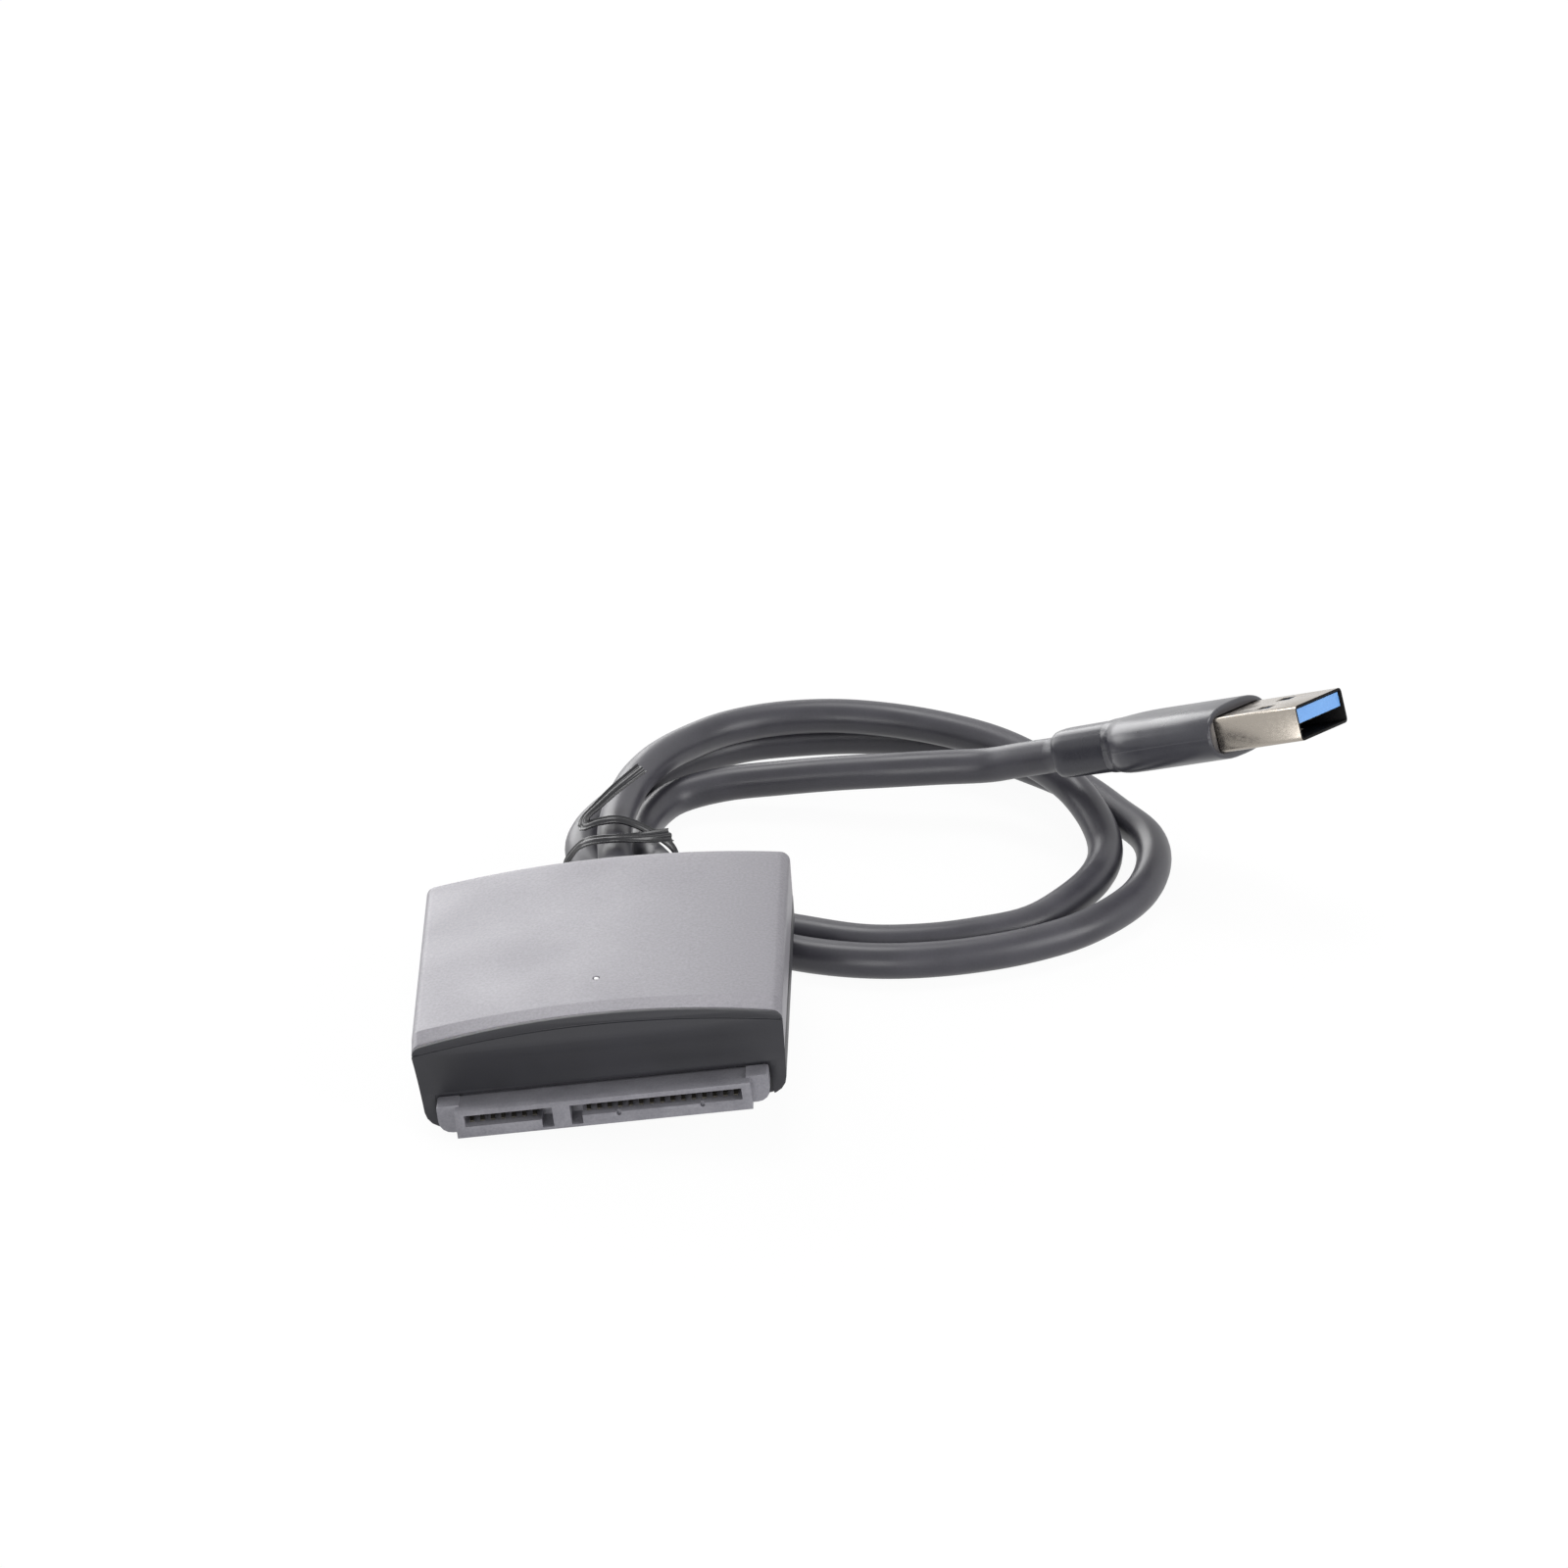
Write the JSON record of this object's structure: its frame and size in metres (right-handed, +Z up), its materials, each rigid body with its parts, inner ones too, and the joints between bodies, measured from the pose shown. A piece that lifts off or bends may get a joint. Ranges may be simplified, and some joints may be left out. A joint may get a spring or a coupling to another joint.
{
  "type": "usb to sata adapter",
  "caption": "Domed housing with a drive receptacle at its front, on a round cable coiled in two turns, tied and ended in a USB plug.",
  "frame": {"origin": "centre of the housing's box in plan, gland included, on the surface that the adapter lies on", "axes": "+Z up; -Y out of the drive receptacle, +Y along the housing to its cable; +X to the side on which the plug lies"},
  "size_m": [0.1148, 0.1058, 0.0293],
  "materials": {
    "silver_cover_paint": "fine satin metallic silver paint on moulded plastic",
    "dark_case_plastic": "finely textured moulded plastic",
    "receptacle_plastic": "smooth moulded nylon",
    "gold_contact": "gold flash",
    "board_laminate": "solder mask over glass laminate",
    "chip_epoxy": "matte epoxy",
    "tinned_metal": "satin",
    "ferrite": "matte",
    "capacitor_ceramic": "matte",
    "clear_plastic": "clear moulded plastic",
    "cable_jacket": "satin cable jacket",
    "core_insulation": "smooth wire insulation",
    "tie_plastic": "plastic film over a wire",
    "grip_plastic": "satin overmoulding",
    "plated_steel": "nickel plate",
    "blue_insulator": "moulded insulator"
  },
  "bodies": {
    "root": {"top_cover": "silver_cover_paint", "case_lid": "dark_case_plastic", "lower_case": "dark_case_plastic", "sata_receptacle": "receptacle_plastic", "signal_contact_01": "gold_contact", "signal_contact_02": "gold_contact", "signal_contact_03": "gold_contact", "signal_contact_04": "gold_contact", "signal_contact_05": "gold_contact", "signal_contact_06": "gold_contact", "signal_contact_07": "gold_contact", "power_contact_01": "gold_contact", "power_contact_02": "gold_contact", "power_contact_03": "gold_contact", "power_contact_04": "gold_contact", "power_contact_05": "gold_contact", "power_contact_06": "gold_contact", "power_contact_07": "gold_contact", "power_contact_08": "gold_contact", "power_contact_09": "gold_contact", "power_contact_10": "gold_contact", "power_contact_11": "gold_contact", "power_contact_12": "gold_contact", "power_contact_13": "gold_contact", "power_contact_14": "gold_contact", "power_contact_15": "gold_contact", "circuit_board": "board_laminate", "bridge_chip": "chip_epoxy", "voltage_regulator": "chip_epoxy", "crystal": "tinned_metal", "power_inductor": "ferrite", "capacitor_1": "capacitor_ceramic", "capacitor_2": "capacitor_ceramic", "capacitor_3": "capacitor_ceramic", "capacitor_4": "capacitor_ceramic", "status_led": "clear_plastic", "light_pipe": "clear_plastic", "cable_gland": "cable_jacket", "usb_cord": "cable_jacket", "power_core": "core_insulation", "ground_core": "core_insulation", "data_core": "core_insulation", "transmit_core": "core_insulation", "receive_core": "core_insulation", "twist_tie": "tie_plastic", "plug_boot": "grip_plastic", "plug_grip": "grip_plastic", "usb_shell": "plated_steel", "usb_tongue": "blue_insulator", "usb_contact_1": "gold_contact", "usb_contact_2": "gold_contact", "usb_contact_3": "gold_contact", "usb_contact_4": "gold_contact", "superspeed_contact_1": "gold_contact", "superspeed_contact_2": "gold_contact", "superspeed_contact_3": "gold_contact", "superspeed_contact_4": "gold_contact", "superspeed_contact_5": "gold_contact"}
  },
  "joints": []
}
